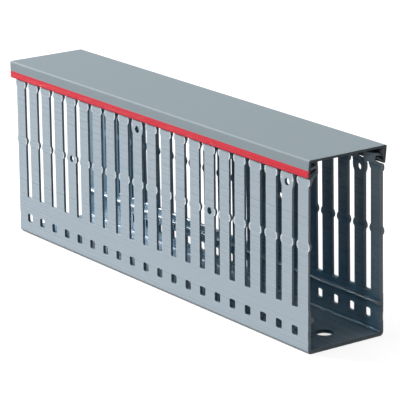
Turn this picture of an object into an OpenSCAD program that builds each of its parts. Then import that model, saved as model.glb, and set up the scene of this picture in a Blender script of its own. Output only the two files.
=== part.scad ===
// Slotted wire duct: one extruded and punched PVC trough with hourglass
// slots and hooked fingers, and its clip-on cover with a colour strip.
// Frame: X along the duct, -Y the strip side, Z up, origin at the centre
// of the underside. Millimetres.

/* [Duct] */
// Number of slots in each wall
slot_count = 20; // [5:5:40]
// Spacing of the slots along the duct
slot_pitch = 12.5; // [10:0.5:20]
// Outer width across the two walls at the floor
base_w = 46.1; // [40:0.1:80]
// Height of the closed duct, cover on
duct_h = 95.7; // [80:0.1:120]
// Wall thickness
wall_t = 1.6; // [1.2:0.1:2]
// Floor thickness
floor_t = 1.8; // [1.4:0.1:2.4]
// Inward lean of each wall from floor to hook
wall_lean = 0.6; // [0:0.1:1]
// Radius of the two lengthwise outer corners under the floor
corner_r = 2; // [1:0.5:3]

/* [Slots and holes] */
// Slot width between two fingers
slot_w = 4.7; // [4:0.1:6]
// Height of the slot bottoms above the underside
slot_z = 21.3; // [18:0.1:30]
// Height of the lower neck of the slots
mid_neck_z = 52.9; // [45:0.5:65]
// Drop from the hooks' kink to the upper neck of the slots
top_neck_drop = 1.8; // [1:0.1:3]
// How far each nib stands into the slot at a neck
nib_reach = 1.1; // [0.8:0.1:1.8]
// Height of a nib along the finger
nib_h = 4.2; // [3:0.1:6]
// Height of the longer upper nibs beside an upper retainer hole
long_nib_h = 7.6; // [4:0.1:9]
// Bevel along the slots' inner edges
slot_bevel = 0.5; // [0.3:0.1:0.8]
// Side of the square side holes under the slots
side_hole = 4.8; // [4:0.1:6]
// Height of the square side holes
side_hole_z = 9.6; // [8:0.1:12]
// Corner radius of the square side holes
side_hole_r = 1; // [0.5:0.1:1.5]
// Diameter of the wire-retainer holes in the fingers
retainer_d = 3.7; // [2.5:0.1:4]
// Every this many fingers there are a retainer hole, low and high in turn, and a fixing hole
hole_step = 5; // [3:1:8]
// Drop from the hooks' kink to the upper retainer holes
retainer_drop = 4.7; // [2.5:0.1:6]
// Diameter of the fixing holes in the floor
fixing_d = 9; // [5:0.5:10]

/* [Hooks and bead] */
// Height of the hooks above the kink in the walls
hook_h = 6; // [5.5:0.1:8]
// Plate thickness of the hooks
hook_t = 1.2; // [0.9:0.1:1.4]
// How far the hooks step inward
hook_in = 4.4; // [3.5:0.1:5]
// Height that the hooks' shoulders climb on the way in
shoulder_rise = 1.9; // [1:0.1:3]
// How far the hooks curl outward again at the top
hook_curl = 3.3; // [2.5:0.1:3.5]
// Height of the lengthwise bead on each inner wall face
bead_z = 16.7; // [14:0.1:18]
// How far the bead stands out from the wall
bead_reach = 2.1; // [1.5:0.1:3]
// Thickness of the bead
bead_t = 2.3; // [1.5:0.1:3]

/* [Cover] */
// Cover thickness
cover_t = 1.3; // [1:0.1:1.6]
// How far each skirt stands outside the trough's width
cover_gap = 0.25; // [0.1:0.05:0.5]
// Gap between the hooks and the underside of the cover
head_gap = 2.2; // [1:0.1:4]
// Gap between the walls' kink and the lower edges of the skirts
foot_gap = 0.3; // [0.2:0.1:1.5]
// Overhang of the cover past the left end of the trough
cover_over_left = 4.5; // [0:0.1:10]
// Overhang of the cover past the right end of the trough
cover_over_right = 1.6; // [0:0.1:10]
// How far the sawn right end of the cover runs back from top to bottom
cover_cut_slant = 1.2; // [0:0.1:2]
// Thickness of the snap lips
lip_t = 0.95; // [0.8:0.05:1.1]
// Gap between the lips' tips and the hooks that hold them down
lip_gap = 0.3; // [0.2:0.05:0.6]
// Height of the colour strip, from the lower edge of the skirt
strip_h = 3.9; // [2:0.1:6]
// Depth of the colour strip in the skirt
strip_t = 0.5; // [0.3:0.05:0.7]

/* [Hidden] */
finger_w = slot_pitch - slot_w;
end_cut = 0.2;                                      // floor and low walls run this far past the end fingers
base_l = slot_count * slot_pitch + finger_w + 2 * end_cut;
blank_l = (slot_count + 1) * slot_pitch;            // to the middle of the slots cut through at the ends
cover_l = base_l + cover_over_left + cover_over_right;
cover_x = (cover_over_right - cover_over_left) / 2;
function slot_x(i) = (i - (slot_count + 1) / 2) * slot_pitch;   // slots 1 to slot_count
function finger_x(i) = slot_x(i) - slot_pitch / 2;              // finger i is left of slot i
holed_fingers = [hole_step : hole_step : slot_count];
function has_high_hole(i) = i > 0 && i <= slot_count && i % (2 * hole_step) == 0;
hook_top_z = duct_h - cover_t - head_gap;
kink_z = hook_top_z - hook_h;
top_neck_z = kink_z - top_neck_drop;
retainer_top_z = kink_z - retainer_drop;
wall_y = base_w / 2 - wall_lean - wall_t / 2;       // wall centre line at the kink
lean_angle = atan(wall_lean / kink_z);
hook_dip = 0.8;                                     // how far the curled noses droop
cover_w = base_w + 2 * cover_gap;
skirt_y = cover_w / 2 - cover_t / 2;                // skirt centre line
skirt_z = kink_z + foot_gap;
lip_tip = [wall_y - hook_in + hook_curl / 2,
           hook_top_z - hook_t - hook_dip - lip_gap - lip_t / 2];
strip_groove = 0.3;                                 // size of the two fine lines along the strip
cover_r = 0.8;                                      // radius of the cover's upper edges
kink_chamfer = 0.2;
slot_corner_r = 0.7;
floor_inner_r = 0.8;
fine = 16;

// ---- shared shapes ----

// A section drawn in (Y, Z), run along X from x0 for len.
module along_x(x0, len) {
    translate([x0, 0, 0]) rotate([90, 0, 90]) linear_extrude(len) children();
}

// A saw cut drawn in (X, Z), run across the whole duct along Y.
module across_y() {
    translate([0, cover_w, 0]) rotate([90, 0, 0]) linear_extrude(2 * cover_w) children();
}

// A tool placed on both walls alike: Y = 0 on the outer face, Z up along the wall.
module on_walls() {
    for (s = [0, 1]) mirror([0, s, 0])
        translate([0, base_w / 2, 0]) rotate([lean_angle, 0, 0]) children();
}

// A punch drawn in (X, Z), driven square through a wall and its hooks and no further.
module through_wall() {
    depth = base_w / 3;
    translate([0, depth / 2, 0]) rotate([90, 0, 0]) linear_extrude(depth) children();
}

module dot(p, r) {
    translate(p) circle(r, $fn = fine);
}

// One flat run of bent plate of thickness t from a to b, square-ended.
module plate(a, b, t) {
    d = b - a;
    translate(a) rotate(atan2(d[1], d[0])) translate([0, -t / 2]) square([norm(d), t]);
}

// Bent plate through the given points, rounded at each bend and at both ends.
// The round ends stand a hair proud, so that they cross the flats cleanly.
module bent_plate(pts, t) {
    for (i = [1 : len(pts) - 1]) plate(pts[i - 1], pts[i], t);
    for (p = pts) dot(p, t / 2 + 0.01);
}

// Quarter disc about p, in the quadrant that starts at the given angle.
module quarter_dot(p, r, angle) {
    intersection() {
        dot(p, r);
        translate(p) rotate(angle) square(r);
    }
}

module both_sides() {
    children();
    mirror([1, 0]) children();
}

module rounded_rect(w, h, r) {
    square([w - 2 * r, h], center = true);
    square([w, h - 2 * r], center = true);
    for (x = [-1, 1], y = [-1, 1]) dot([x * (w / 2 - r), y * (h / 2 - r)], r);
}

// ---- trough ----

// Solid trough outline up to height z, narrowing with the wall lean; inset
// moves it inward, floor_z is its lower edge, r its lower corner radius and
// c the chamfer along its upper edges.
module trough_outline(inset, floor_z, r, z, c) {
    y0 = base_w / 2 - inset;
    y1 = y0 - wall_lean;
    polygon([[-y0, floor_z + r], [y0, floor_z + r], [y1, z - c], [y1 - c, z],
             [c - y1, z], [-y1, z - c]]);
    translate([r - y0, floor_z]) square([2 * (y0 - r), r]);
    both_sides() quarter_dot([y0 - r, floor_z + r], r, -90);
}

// Inward kink, upright and outward curl that the cover lips catch under.
module hook_section() {
    bent_plate([[wall_y, kink_z - 0.6],
                [wall_y - hook_in, kink_z + shoulder_rise],
                [wall_y - hook_in, hook_top_z - hook_t / 2],
                [wall_y - hook_in + hook_curl, hook_top_z - hook_t / 2 - hook_dip]], hook_t);
}

module bead_section() {
    y = base_w / 2 - wall_t - bead_reach;
    plate([y + bead_t / 2, bead_z], [base_w / 2 - wall_t / 2, bead_z], bead_t);
    dot([y + bead_t / 2, bead_z], bead_t / 2);
}

module trough_section() {
    difference() {
        trough_outline(0, 0, corner_r, kink_z, kink_chamfer);
        trough_outline(wall_t, floor_t, floor_inner_r, kink_z + 0.01, 0.001);
    }
    both_sides() {
        hook_section();
        bead_section();
    }
}

// Radius of a nib's arc that stands nib_reach into the slot over height h.
function nib_r(h) = (h * h / 4 + nib_reach * nib_reach) / (2 * nib_reach);

// The nibs of slot i as [side, height of the middle, height of the nib]. A long
// nib, on a finger with an upper retainer hole, starts level with the others.
function upper_nib_h(i, side) = has_high_hole(side < 0 ? i : i + 1) ? long_nib_h : nib_h;
function nibs(i) = [for (side = [-1, 1]) each [
    [side, mid_neck_z, nib_h],
    [side, top_neck_z + (nib_h - upper_nib_h(i, side)) / 2, upper_nib_h(i, side)]]];
function nib_x(nib) = nib[0] * (slot_w / 2 + nib_r(nib[2]) - nib_reach);

// Hourglass slot, open at the top, with a nib on each edge at both necks.
module slot_punch(i) {
    top = duct_h + 1;
    difference() {
        union() {
            translate([-slot_w / 2, slot_z + slot_corner_r])
                square([slot_w, top - slot_z - slot_corner_r]);
            translate([slot_corner_r - slot_w / 2, slot_z])
                square([slot_w - 2 * slot_corner_r, slot_corner_r]);
            both_sides()
                quarter_dot([slot_w / 2 - slot_corner_r, slot_z + slot_corner_r], slot_corner_r, -90);
        }
        for (nib = nibs(i)) dot([nib_x(nib), nib[1]], nib_r(nib[2]));
    }
}

// Bevel cutter for the inner edges of slot i, up to its upper neck. It flares
// at 45 degrees from the slot's own outline, slot_bevel outside the inner face.
module slot_bevel_cutter(i) {
    inner = slot_bevel + 0.5;                       // from the outline in past the inner face
    outer = 0.3;                                    // and out inside the slot
    translate([0, slot_bevel - wall_t, 0]) difference() {
        intersection() {
            linear_extrude(top_neck_z)
                polygon([[-slot_w / 2 - inner, -inner], [slot_w / 2 + inner, -inner],
                         [slot_w / 2 - outer, outer], [outer - slot_w / 2, outer]]);
            along_x(-slot_w, 2 * slot_w)
                polygon([[-inner, slot_z - inner], [outer, slot_z + outer],
                         [outer, top_neck_z + 1], [-inner, top_neck_z + 1]]);
        }
        for (nib = nibs(i))
            translate([nib_x(nib), -inner - 0.1, nib[1]]) rotate([-90, 0, 0])
                cylinder(h = inner + outer + 0.2, r1 = nib_r(nib[2]) - inner - 0.1,
                         r2 = nib_r(nib[2]) + outer + 0.1, $fn = fine);
    }
}

module side_hole_punch() {
    translate([0, side_hole_z]) rounded_rect(side_hole, side_hole, side_hole_r);
}

// Wire-retainer holes, in turn at the lower neck and high up.
module retainer_punches() {
    for (i = holed_fingers)
        dot([finger_x(i), i / hole_step % 2 == 1 ? mid_neck_z : retainer_top_z],
            retainer_d / 2);
}

module fixing_drills() {
    for (i = holed_fingers)
        translate([finger_x(i), 0, -1]) cylinder(h = floor_t + 2, d = fixing_d, $fn = 48);
}

// The length is cut through the slots past the end fingers, so those fingers
// keep their nibs and only the floor and the low walls are sawn.
module end_trim() {
    for (s = [0, 1]) mirror([s, 0])
        translate([base_l / 2, -1]) square([slot_pitch, slot_z + 3]);
}

module slotted_base() {
    color("#a4b2bb") difference() {
        along_x(-blank_l / 2, blank_l) trough_section();
        on_walls() {
            through_wall() {
                for (i = [0 : slot_count + 1]) translate([slot_x(i), 0]) {
                    slot_punch(i);
                    side_hole_punch();
                }
                retainer_punches();
            }
            for (i = [0 : slot_count + 1]) translate([slot_x(i), 0, 0]) slot_bevel_cutter(i);
        }
        across_y() end_trim();
        fixing_drills();
    }
}

// ---- cover ----

// Skirt with a rounded foot, and the snap lip folded in and up from it.
module skirt_and_lip() {
    foot = [skirt_y, skirt_z + cover_t / 2];
    plate([skirt_y, duct_h - cover_r], foot, cover_t);
    dot(foot, cover_t / 2);
    bent_plate([foot, lip_tip], lip_t);
}

module cover_section() {
    translate([cover_r - cover_w / 2, duct_h - cover_t])
        square([cover_w - 2 * cover_r, cover_t]);
    both_sides() {
        quarter_dot([cover_w / 2 - cover_r, duct_h - cover_r], cover_r, 0);
        skirt_and_lip();
    }
}

// The outer skin of the -Y skirt that is run in the second colour.
module strip_zone() {
    translate([-cover_w / 2 - 1, skirt_z - 1]) square([strip_t + 1, strip_h + 1]);
}

// A section of the cover run along its length, with its right end sawn aslant.
module cover_run() {
    x = cover_x + cover_l / 2;
    step = cover_cut_slant / (duct_h - skirt_z);    // run back for each mm down
    difference() {
        along_x(cover_x - cover_l / 2, cover_l) children();
        across_y()
            polygon([[x + step, duct_h + 1], [x - cover_cut_slant - step, skirt_z - 1],
                     [x + 1, skirt_z - 1], [x + 1, duct_h + 1]]);
    }
}

module snap_cover() {
    color("#a2afb5") cover_run() difference() {
        cover_section();
        strip_zone();
    }
}

module color_strip() {
    color("#e03448") cover_run() difference() {
        intersection() {
            cover_section();
            strip_zone();
        }
        for (f = [0.38, 0.62])
            translate([-cover_w / 2, skirt_z + strip_h * f])
                square(strip_groove, center = true);
    }
}

slotted_base();
snap_cover();
color_strip();
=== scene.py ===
"""Slotted wire duct: PVC finishes, floor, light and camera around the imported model."""

import math

import bpy
from mathutils import Matrix, Vector


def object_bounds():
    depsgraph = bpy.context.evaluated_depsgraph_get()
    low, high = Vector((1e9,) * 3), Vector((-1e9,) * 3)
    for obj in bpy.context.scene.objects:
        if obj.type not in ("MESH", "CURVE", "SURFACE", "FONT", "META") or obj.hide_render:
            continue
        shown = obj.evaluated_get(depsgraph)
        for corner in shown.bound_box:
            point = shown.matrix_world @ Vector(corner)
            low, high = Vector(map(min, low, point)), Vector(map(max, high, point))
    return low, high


MM = 0.001

# The duct's own measures that the finishes follow, in metres, in the part's frame.
SLOT_PITCH = 12.5 * MM
SLOT_WIDTH = 4.7 * MM
NIB_REACH = 1.1 * MM
NECK_HEIGHTS = (52.9 * MM, 84.4 * MM)
NIB_HALF_HEIGHT = 2.1 * MM
NIB_RADIUS = (NIB_HALF_HEIGHT**2 + NIB_REACH**2) / (2 * NIB_REACH)
PUNCHED_FROM, PUNCHED_TO = 5 * MM, 85.8 * MM
BEAD_FROM, BEAD_TO = 14.5 * MM, 19 * MM

# Finish colours, linear.
GREY_PVC = (0.385, 0.455, 0.510)
COVER_PVC = (0.255, 0.304, 0.330)
# Pale colour of the punched edges, partly burr and partly painted highlight, and of the bands along
# the nibs.
PALE_PVC = (0.78, 0.83, 0.86)
SAWN_PVC = (0.46, 0.54, 0.59)
RED_PVC = (0.80, 0.028, 0.055)
# Painted shade: the dark blue tint that multiplies the colour inside the trough and on the cover's
# downward faces.
PAINTED_CAVITY_SHADE = (0.16, 0.36, 0.50)
NO_TINT = (1.0, 1.0, 1.0)

# Gloss of plain PVC, and how far its roughness swings over the die lines.
PVC_IOR = 1.53
LINE_SMOOTHER, LINE_ROUGHER = 0.04, 0.06
SAWN_ROUGHER = 0.3
RED_ROUGHNESS = (0.30, 0.42)

# Shade of the die lines and the saw marks, as shares of the colour around them.
LINE_DARK, LINE_LIGHT = 0.985, 1.01
DRIFT_SHARE = 0.25
SAW_MARK_DARK = 0.7
RED_LINE_DARK = 0.8
RED_LINE_SIZE = 0.5 * MM

# How strongly the pale colour covers the grey: on punched edges a burr line with a painted
# highlight, and on the bands along the nibs.
EDGE_BURR_AND_HIGHLIGHT = 0.5
NIB_PALE_BAND = 0.9

# Relief of the surface: the die lines against the saw marks' 1, and the whole of it.
LINE_RELIEF = 0.15
RELIEF_STRENGTH = 0.15
RELIEF_DEPTH = 0.2 * MM

# A noise texture keeps most of its values within these ranges around 0.5.
NOISE_CORE = (0.35, 0.65)
NOISE_SPREAD = (0.3, 0.7)

# Camera: where it stands, and its turn, tilt, roll and lens.
CAMERA_AT = Vector((1.0049, -0.7071, 0.3991))
CAMERA_AZIMUTH = math.radians(54.59)
CAMERA_TILT_DOWN = math.radians(16.17)
CAMERA_ROLL = math.radians(-0.87)
CAMERA_LENS = 223.85
CAMERA_SENSOR = 36.0
CAMERA_CLIP = (0.05, 30.0)

# Lamps stand this far from the duct's middle.
LAMP_DISTANCE = 5.0
DUCT_MIDDLE = Vector((0.0, 0.0, 0.05))

# Floor: half its width, how far it lies under the duct, its paint, its glow for the camera, and the
# reach and bounds of the painted shadow where the duct covers it.
FLOOR_HALF_WIDTH = 6.0
FLOOR_BELOW = 0.02 * MM
FLOOR_PAINT = (0.25, 0.25, 0.25)
FLOOR_GLOW = 0.9
FLOOR_SKY_REACH = 0.12
FLOOR_COVERED, FLOOR_OPEN = 0.05, 0.35

# World: a cool, low light from the left for the object, and white for the camera.
WORLD_TINT = (0.85, 0.95, 1.0)
WORLD_FROM_LEFT = 0.35
WHITE = (1.0, 1.0, 1.0)

# Socket numbers of the Mix node in its colour mode, where the names repeat.
MIX_FACTOR, MIX_A, MIX_B, MIX_RESULT = 0, 6, 7, 2


# ---- node helpers ----


class NodeTree:
    """Thin wrapper that adds nodes and links them by socket."""

    def __init__(self, tree):
        self.tree = tree

    def add(self, kind, settings=None, **inputs):
        """A new node; settings are its attributes, inputs its sockets by name (spaces as _)."""
        node = self.tree.nodes.new(kind)
        for key, value in (settings or {}).items():
            setattr(node, key, value)
        for key, value in inputs.items():
            self.feed(node, key.replace("_", " "), value)
        return node

    def feed(self, node, socket, value):
        """Links or sets one input, by its name or number; colours are given without alpha."""
        target = node.inputs[socket]
        if isinstance(value, bpy.types.NodeSocket):
            self.tree.links.new(value, target)
        elif target.type == "RGBA":
            target.default_value = (*value, 1.0)
        else:
            target.default_value = value

    def math(self, operation, a, b=0.5, clamp=False):
        node = self.add("ShaderNodeMath", {"operation": operation, "use_clamp": clamp})
        self.feed(node, 0, a)
        self.feed(node, 1, b)
        return node.outputs[0]

    def ramp(self, value, low, high, to_low=0.0, to_high=1.0):
        """value mapped smoothly from low..high to to_low..to_high."""
        node = self.add(
            "ShaderNodeMapRange",
            {"interpolation_type": "SMOOTHSTEP"},
            Value=value,
            From_Min=low,
            From_Max=high,
            To_Min=to_low,
            To_Max=to_high,
        )
        return node.outputs[0]

    def between(self, value, low, high):
        """1 where value lies between low and high, and 0 elsewhere."""
        above = self.math("GREATER_THAN", value, low)
        return self.math("MULTIPLY", above, self.math("LESS_THAN", value, high))

    def mix(self, factor, a, b, blend="MIX"):
        """Colour a to colour b by factor."""
        node = self.add("ShaderNodeMix", {"data_type": "RGBA", "blend_type": blend})
        for socket, value in ((MIX_FACTOR, factor), (MIX_A, a), (MIX_B, b)):
            self.feed(node, socket, value)
        return node.outputs[MIX_RESULT]

    def noise(self, at, scale, detail):
        """Noise of about 0 to 1 at a point."""
        node = self.add("ShaderNodeTexNoise", Vector=at, Scale=scale, Detail=detail)
        return node.outputs[0]

    def on_piece(self):
        """The point on the piece, as one vector."""
        return self.add("ShaderNodeTexCoord").outputs["Object"]

    def split(self, vector):
        """X, Y and Z of a vector."""
        return self.add("ShaderNodeSeparateXYZ", Vector=vector).outputs

    def facing(self):
        """X, Y and Z of the way the surface faces."""
        return self.split(self.add("ShaderNodeNewGeometry").outputs["True Normal"])


def shader_group(name, inputs, outputs):
    """A new group with float inputs {name: default} and float outputs.

    Returns its tree, what it is given and its output node.
    """
    group = bpy.data.node_groups.new(name, "ShaderNodeTree")
    for key, default in inputs.items():
        socket = group.interface.new_socket(key, in_out="INPUT", socket_type="NodeSocketFloat")
        socket.default_value = default
    for key in outputs:
        group.interface.new_socket(key, in_out="OUTPUT", socket_type="NodeSocketFloat")
    tree = NodeTree(group)
    return tree, tree.add("NodeGroupInput").outputs, tree.add("NodeGroupOutput")


def place_group(tree, group, **inputs):
    """Puts a group into a material; returns its outputs."""
    return tree.add("ShaderNodeGroup", {"node_tree": group}, **inputs).outputs


# ---- shared effects ----


def extrusion_lines_group():
    """Fine lines that the die leaves along X, and slow shade drift; Lines and Drift are 0 to 1."""
    tree, given, out = shader_group(
        "extrusion_lines", {"Line Size": 0.6 * MM, "Stretch": 400.0}, ("Lines", "Drift")
    )
    at = tree.split(tree.on_piece())
    across = tree.math("DIVIDE", 1.0, given["Line Size"])
    along = tree.math("DIVIDE", across, given["Stretch"])
    stretched = tree.add(
        "ShaderNodeCombineXYZ",
        X=tree.math("MULTIPLY", at["X"], along),
        Y=tree.math("MULTIPLY", at["Y"], across),
        Z=tree.math("MULTIPLY", at["Z"], across),
    )
    tree.feed(out, "Lines", tree.noise(stretched.outputs[0], 1.0, 3.0))
    tree.feed(out, "Drift", tree.noise(tree.on_piece(), 28.0, 2.0))
    return tree.tree


def edge_burr_and_highlight_group():
    """Thin pale line along the outward edges of punched slots and holes, partly burr and partly
    painted highlight; Mask is 0 to 1.
    """
    tree, given, out = shader_group(
        "edge_burr_and_highlight", {"Width": 0.4 * MM, "Break Up": 0.5}, ("Mask",)
    )
    inside = tree.add(
        "ShaderNodeAmbientOcclusion", {"samples": 8, "inside": True}, Distance=given["Width"]
    )
    edge = tree.ramp(inside.outputs["AO"], 0.97, 0.60)
    # The lengthwise edges of the extrusion stay plain: only the punched heights count.
    height = tree.split(tree.on_piece())["Z"]
    punched = tree.between(height, PUNCHED_FROM, PUNCHED_TO)
    on_bead = tree.between(height, BEAD_FROM, BEAD_TO)
    edge = tree.math("MULTIPLY", edge, tree.math("SUBTRACT", punched, on_bead))
    patchy = tree.ramp(tree.noise(tree.on_piece(), 350.0, 2.0), *NOISE_CORE)
    kept = tree.math(
        "ADD",
        tree.math("SUBTRACT", 1.0, given["Break Up"]),
        tree.math("MULTIPLY", patchy, given["Break Up"]),
    )
    tree.feed(out, "Mask", tree.math("MULTIPLY", edge, kept, clamp=True))
    return tree.tree


def sawn_end_group():
    """Ends cut across the length: Mask marks them and Grain is the rough, streaked saw mark."""
    tree, given, out = shader_group("sawn_end", {"Grain Size": 0.4 * MM}, ("Mask", "Grain"))
    endwise = tree.math("ABSOLUTE", tree.facing()["X"])
    tree.feed(out, "Mask", tree.ramp(endwise, 0.9, 0.99))
    at = tree.split(tree.on_piece())
    fine = tree.math("DIVIDE", 1.0, given["Grain Size"])
    # The marks are drawn out in height, where the saw ran.
    streaked = tree.add(
        "ShaderNodeCombineXYZ",
        X=0.0,
        Y=tree.math("MULTIPLY", at["Y"], fine),
        Z=tree.math("MULTIPLY", at["Z"], tree.math("MULTIPLY", fine, 0.35)),
    )
    grain = tree.noise(streaked.outputs[0], 1.0, 4.0)
    tree.feed(out, "Grain", tree.ramp(grain, *NOISE_SPREAD))
    return tree.tree


def nib_pale_band_group():
    """Paler colour along the arcs of the nibs, on the outer faces only; Mask is 0 to 1."""
    tree, given, out = shader_group("nib_pale_band", {"Width": 0.9 * MM}, ("Mask",))
    at = tree.split(tree.on_piece())
    to_finger_centre = tree.math("PINGPONG", at["X"], SLOT_PITCH / 2)
    to_slot_centre = tree.math("SUBTRACT", SLOT_PITCH / 2, to_finger_centre)
    arc_centre = SLOT_WIDTH / 2 - NIB_REACH + NIB_RADIUS
    behind_nib = tree.math("SUBTRACT", arc_centre, to_slot_centre)
    half_width = tree.math("MULTIPLY", given["Width"], 0.5)
    in_nibs = 0.0
    for height in NECK_HEIGHTS:
        along = tree.math("SUBTRACT", at["Z"], height)
        squares = tree.math(
            "ADD", tree.math("POWER", along, 2.0), tree.math("POWER", behind_nib, 2.0)
        )
        inward = tree.math("SUBTRACT", NIB_RADIUS, tree.math("SQRT", squares))
        band = tree.ramp(inward, given["Width"], half_width)
        from_neck = tree.math("ABSOLUTE", along)
        here = tree.ramp(from_neck, NIB_HALF_HEIGHT, NIB_HALF_HEIGHT - 0.6 * MM)
        in_nibs = tree.math("MAXIMUM", tree.math("MULTIPLY", band, here), in_nibs)
    by_slot = tree.ramp(to_slot_centre, SLOT_WIDTH / 2 + 0.7 * MM, SLOT_WIDTH / 2 + 0.2 * MM)
    # Outer faces look away from the duct's middle.
    outward = tree.math("MULTIPLY", tree.facing()["Y"], tree.math("SIGN", at["Y"]))
    outer = tree.math("GREATER_THAN", outward, 0.5)
    outer_nibs = tree.math("MULTIPLY", in_nibs, outer)
    tree.feed(out, "Mask", tree.math("MULTIPLY", outer_nibs, by_slot, clamp=True))
    return tree.tree


def painted_cavity_shade_group():
    """Painted shade: how far a place sits inside the trough, found by ambient occlusion, so that
    its colour is darkened there; Mask is 0 to 1.
    """
    tree, given, out = shader_group("cavity_shade", {"Reach": 80 * MM}, ("Mask",))
    open_sky = tree.add(
        "ShaderNodeAmbientOcclusion", {"samples": 8, "only_local": True}, Distance=given["Reach"]
    )
    tree.feed(out, "Mask", tree.ramp(open_sky.outputs["AO"], 0.85, 0.45))
    return tree.tree


def painted_underside_shade_group():
    """Painted shade on faces that look down, as on the underside of the cover; Mask is 0 to 1."""
    tree, given, out = shader_group("underside", {"Turn": 0.3}, ("Mask",))
    down = tree.math("MULTIPLY", tree.facing()["Z"], -1.0)
    tree.feed(out, "Mask", tree.math("GREATER_THAN", down, given["Turn"]))
    return tree.tree


# ---- materials ----


def shaded(colour, share):
    """The colour made darker or lighter, as a share of itself."""
    return tuple(c * share for c in colour)


def new_pvc(name):
    """A material of plain PVC; returns it, its tree and its Principled shader."""
    material = bpy.data.materials.new(name)
    material.use_nodes = True
    principled = material.node_tree.nodes["Principled BSDF"]
    principled.inputs["IOR"].default_value = PVC_IOR
    return material, NodeTree(material.node_tree), principled


def pale_punched_edges_and_nibs(tree, groups, shade, painted_shade_mask):
    """Pale punched edges, partly burr and partly painted highlight, which fade where the trough's
    painted shade lies, and pale nib bands over a shade.
    """
    edges = place_group(tree, groups["edges"])
    # The painted highlight fades out where the painted shade darkens the inside of the trough.
    in_light = tree.math("SUBTRACT", 1.0, painted_shade_mask)
    pale = tree.math("MULTIPLY", tree.math("MULTIPLY", edges["Mask"], in_light), EDGE_BURR_AND_HIGHLIGHT)
    shade = tree.mix(pale, shade, PALE_PVC)
    nib_band = place_group(tree, groups["nibs"])
    return tree.mix(tree.math("MULTIPLY", nib_band["Mask"], NIB_PALE_BAND), shade, PALE_PVC)


def pvc_material(name, groups, colour, roughness, gloss, sawn_tone, punched):
    """Extruded PVC: die lines, slow drift, sawn ends, and painted shade inside the trough and on
    faces that look down.

    The punched trough has pale edges, partly a painted highlight, and pale nibs too.
    """
    material, tree, principled = new_pvc(name)
    principled.inputs["Specular IOR Level"].default_value = gloss

    lines = place_group(tree, groups["lines"])
    sawn = place_group(tree, groups["sawn"])

    in_line = tree.ramp(lines["Lines"], *NOISE_CORE)
    shade = tree.mix(in_line, shaded(colour, LINE_DARK), shaded(colour, LINE_LIGHT))
    shade = tree.mix(tree.ramp(lines["Drift"], *NOISE_SPREAD, 0.0, DRIFT_SHARE), shade, colour)
    sawn_light = shaded(SAWN_PVC, sawn_tone)
    sawn_shade = tree.mix(sawn["Grain"], shaded(sawn_light, SAW_MARK_DARK), sawn_light)
    shade = tree.mix(sawn["Mask"], shade, sawn_shade)
    # Painted shade: the colour is multiplied towards a dark blue tint inside the trough, or on the
    # cover's downward faces.
    cavity = place_group(tree, groups["cavity" if punched else "underside"])
    if punched:
        shade = pale_punched_edges_and_nibs(tree, groups, shade, cavity["Mask"])
    painted_shade_tint = tree.mix(cavity["Mask"], NO_TINT, PAINTED_CAVITY_SHADE)
    tree.feed(principled, "Base Color", tree.mix(1.0, shade, painted_shade_tint, blend="MULTIPLY"))

    smooth, rough = roughness - LINE_SMOOTHER, roughness + LINE_ROUGHER
    on_lines = tree.ramp(lines["Lines"], *NOISE_SPREAD, smooth, rough)
    on_ends = tree.math("MULTIPLY", sawn["Mask"], SAWN_ROUGHER)
    tree.feed(principled, "Roughness", tree.math("ADD", on_lines, on_ends))

    height = tree.math(
        "ADD",
        tree.math("MULTIPLY", lines["Lines"], LINE_RELIEF),
        tree.math("MULTIPLY", sawn["Mask"], sawn["Grain"]),
    )
    bump = tree.add(
        "ShaderNodeBump", Strength=RELIEF_STRENGTH, Distance=RELIEF_DEPTH, Height=height
    )
    tree.feed(principled, "Normal", bump.outputs[0])
    return material


def red_strip_material(groups):
    """Glossier red PVC with fine darker lines."""
    material, tree, principled = new_pvc("red_strip_pvc")
    lines = place_group(tree, groups["lines"], Line_Size=RED_LINE_SIZE)
    in_line = tree.ramp(lines["Lines"], *NOISE_CORE)
    tree.feed(principled, "Base Color", tree.mix(in_line, shaded(RED_PVC, RED_LINE_DARK), RED_PVC))
    roughness = tree.ramp(lines["Lines"], *NOISE_SPREAD, *RED_ROUGHNESS)
    tree.feed(principled, "Roughness", roughness)
    return material


def finish(node, material):
    """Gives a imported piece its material."""
    node.data.materials.clear()
    node.data.materials.append(material)


# ---- stage ----


def for_camera_only(tree, others, seen):
    """A shader that shows seen to the camera and others to every other ray."""
    ray = tree.add("ShaderNodeLightPath")
    choose = tree.add("ShaderNodeMixShader", Fac=ray.outputs["Is Camera Ray"])
    tree.feed(choose, 1, others.outputs[0])
    tree.feed(choose, 2, seen.outputs[0])
    return choose.outputs[0]


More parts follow.
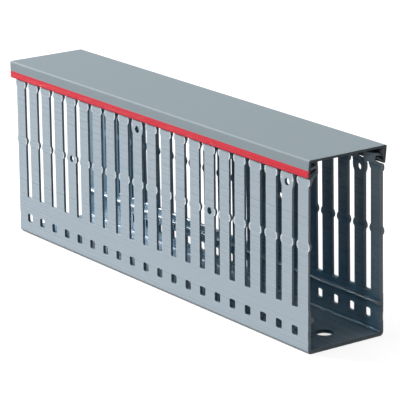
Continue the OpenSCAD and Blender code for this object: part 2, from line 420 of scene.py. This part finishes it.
def floor_and_backdrop():
    """A pale floor that glows white for the camera, keeps a soft shadow in its paint, and has a
    painted shadow where the duct covers it.
    """
    mesh = bpy.data.meshes.new("floor")
    half = FLOOR_HALF_WIDTH
    corners = [(-half, -half, 0), (half, -half, 0), (half, half, 0), (-half, half, 0)]
    mesh.from_pydata(corners, [], [(0, 1, 2, 3)])
    floor = bpy.data.objects.new("floor", mesh)
    bpy.context.scene.collection.objects.link(floor)
    floor.location.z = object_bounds()[0][2] - FLOOR_BELOW
    material = bpy.data.materials.new("pale_floor")
    material.use_nodes = True
    tree = NodeTree(material.node_tree)
    material.node_tree.nodes.remove(material.node_tree.nodes["Principled BSDF"])
    paint = tree.add("ShaderNodeBsdfDiffuse", Color=FLOOR_PAINT)
    # Painted shadow: no glow where the duct covers the floor, found by ambient occlusion, so that
    # its holes look dark from above.
    open_floor = tree.add(
        "ShaderNodeAmbientOcclusion", {"samples": 8}, Distance=FLOOR_SKY_REACH
    )
    glow_with_painted_shadow = tree.ramp(open_floor.outputs["AO"], FLOOR_COVERED, FLOOR_OPEN, 0.0, FLOOR_GLOW)
    glow = tree.add("ShaderNodeEmission", Color=WHITE, Strength=glow_with_painted_shadow)
    lit = tree.add("ShaderNodeAddShader")
    tree.feed(lit, 0, paint.outputs[0])
    tree.feed(lit, 1, glow.outputs[0])
    surface = for_camera_only(tree, paint, lit)
    tree.feed(material.node_tree.nodes["Material Output"], "Surface", surface)
    mesh.materials.append(material)


def soft_world():
    """White behind the object for the camera, and a low light on it from the left."""
    world = bpy.data.worlds.new("studio")
    bpy.context.scene.world = world
    world.use_nodes = True
    tree = NodeTree(world.node_tree)
    ambient = world.node_tree.nodes["Background"]
    tree.feed(ambient, "Color", WORLD_TINT)
    way = tree.split(tree.add("ShaderNodeTexCoord").outputs["Generated"])
    leftward = tree.math("MULTIPLY", way["X"], -1.0)
    tree.feed(ambient, "Strength", tree.ramp(leftward, 0.1, 0.9, 0.0, WORLD_FROM_LEFT))
    white = tree.add("ShaderNodeBackground", Color=WHITE, Strength=1.0)
    surface = for_camera_only(tree, ambient, white)
    tree.feed(world.node_tree.nodes["World Output"], "Surface", surface)


def lamp_place(azimuth, elevation, distance):
    """A point seen from the duct's middle, azimuth in degrees from the strip side towards -X."""
    azimuth, elevation = math.radians(azimuth), math.radians(elevation)
    level = distance * math.cos(elevation)
    x, y = -level * math.sin(azimuth), -level * math.cos(azimuth)
    return Vector((x, y, distance * math.sin(elevation) + DUCT_MIDDLE.z))


def area_light(name, azimuth, elevation, width, watts):
    """A round lamp, aimed at the duct's middle."""
    data = bpy.data.lights.new(name, "AREA")
    data.shape = "DISK"
    data.size = width
    data.energy = watts
    lamp = bpy.data.objects.new(name, data)
    bpy.context.scene.collection.objects.link(lamp)
    lamp.location = lamp_place(azimuth, elevation, LAMP_DISTANCE)
    aim = DUCT_MIDDLE - lamp.location
    lamp.rotation_euler = aim.to_track_quat("-Z", "Y").to_euler()


def studio_lights():
    """A large key low on the left, one on top, and weak lamps in front, at the right and behind."""
    area_light("key_left", azimuth=66, elevation=25, width=1.8, watts=505.0)
    area_light("top", azimuth=66, elevation=80, width=1.8, watts=70.0)
    area_light("front", azimuth=-15, elevation=10, width=0.5, watts=28.0)
    area_light("right", azimuth=-95, elevation=28, width=0.8, watts=5.0)
    area_light("back", azimuth=-150, elevation=20, width=1.2, watts=40.0)


def camera():
    """The camera, turned about Z, tilted down and rolled."""
    data = bpy.data.cameras.new("camera")
    data.lens = CAMERA_LENS
    data.sensor_width = CAMERA_SENSOR
    data.clip_start, data.clip_end = CAMERA_CLIP
    cam = bpy.data.objects.new("camera", data)
    bpy.context.scene.collection.objects.link(cam)
    cam.matrix_world = (
        Matrix.Translation(CAMERA_AT)
        @ Matrix.Rotation(CAMERA_AZIMUTH, 4, "Z")
        @ Matrix.Rotation(math.pi / 2 - CAMERA_TILT_DOWN, 4, "X")
        @ Matrix.Rotation(CAMERA_ROLL, 4, "Z")
    )
    bpy.context.scene.camera = cam


# ---- build ----

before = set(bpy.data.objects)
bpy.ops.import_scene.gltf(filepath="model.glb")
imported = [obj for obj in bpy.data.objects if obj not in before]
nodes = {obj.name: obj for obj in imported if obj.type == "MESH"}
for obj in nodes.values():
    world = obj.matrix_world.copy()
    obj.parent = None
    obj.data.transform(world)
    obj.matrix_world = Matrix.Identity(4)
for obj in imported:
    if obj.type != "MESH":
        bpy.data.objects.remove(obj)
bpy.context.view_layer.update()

camera()
studio_lights()
soft_world()
floor_and_backdrop()

effects = {
    "lines": extrusion_lines_group(),
    "edges": edge_burr_and_highlight_group(),
    "sawn": sawn_end_group(),
    "nibs": nib_pale_band_group(),
    "cavity": painted_cavity_shade_group(),
    "underside": painted_underside_shade_group(),
}
trough_pvc = pvc_material(
    "trough_pvc", effects, GREY_PVC, roughness=0.30, gloss=0.5, sawn_tone=0.75, punched=True
)
# The cover's sawn ends are darkened further than the trough's, as painted shade where they sit
# against the dark inside.
cover_pvc = pvc_material(
    "cover_pvc", effects, COVER_PVC, roughness=0.70, gloss=0.15, sawn_tone=0.40, punched=False
)
finish(nodes["slotted_base"], trough_pvc)
finish(nodes["snap_cover"], cover_pvc)
finish(nodes["color_strip"], red_strip_material(effects))

view = bpy.context.scene.view_settings
view.view_transform = "Standard"
